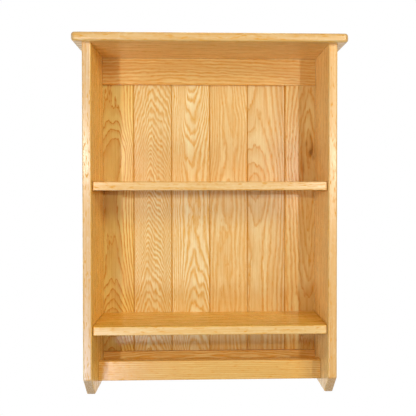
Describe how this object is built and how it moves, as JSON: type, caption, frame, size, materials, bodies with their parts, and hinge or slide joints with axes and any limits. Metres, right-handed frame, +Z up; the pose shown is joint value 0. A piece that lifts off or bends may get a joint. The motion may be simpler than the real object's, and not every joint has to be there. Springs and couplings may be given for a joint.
{
  "type": "wall shelf",
  "caption": "Oak wall shelf with an overhanging top, clipped feet, fixed shelves in housings, a V-jointed boarded back and a low front rail, hung on keyhole plates.",
  "frame": {"origin": "on the wall plane, at the middle of the flat back of the top rail", "axes": "+X to the right as seen from the front, -Y out of the front, +Y into the wall, +Z up"},
  "size_m": [0.586, 0.193, 0.783],
  "materials": {
    "oak": "clear satin lacquer on pale oak",
    "beech": "bare beech",
    "zinc_plated_steel": "bright zinc plating"
  },
  "bodies": {
    "root": {"top_board": "oak", "left_side": "oak", "right_side": "oak", "upper_shelf": "oak", "lower_shelf": "oak", "top_rail": "oak", "bottom_back_rail": "oak", "front_rail": "oak", "back_board_1": "oak", "back_board_2": "oak", "back_board_3": "oak", "back_board_4": "oak", "back_board_5": "oak", "back_board_6": "oak", "top_dowel_left_1": "beech", "top_dowel_left_2": "beech", "top_dowel_left_3": "beech", "top_dowel_right_1": "beech", "top_dowel_right_2": "beech", "top_dowel_right_3": "beech", "top_rail_dowel_left_1": "beech", "top_rail_dowel_left_2": "beech", "top_rail_dowel_right_1": "beech", "top_rail_dowel_right_2": "beech", "bottom_rail_dowel_left_1": "beech", "bottom_rail_dowel_left_2": "beech", "bottom_rail_dowel_right_1": "beech", "bottom_rail_dowel_right_2": "beech", "front_rail_dowel_left_1": "beech", "front_rail_dowel_left_2": "beech", "front_rail_dowel_right_1": "beech", "front_rail_dowel_right_2": "beech", "hanger_plate_left": "zinc_plated_steel", "hanger_plate_right": "zinc_plated_steel", "hanger_screw_left_1": "zinc_plated_steel", "hanger_screw_left_2": "zinc_plated_steel", "hanger_screw_right_1": "zinc_plated_steel", "hanger_screw_right_2": "zinc_plated_steel"}
  },
  "joints": []
}
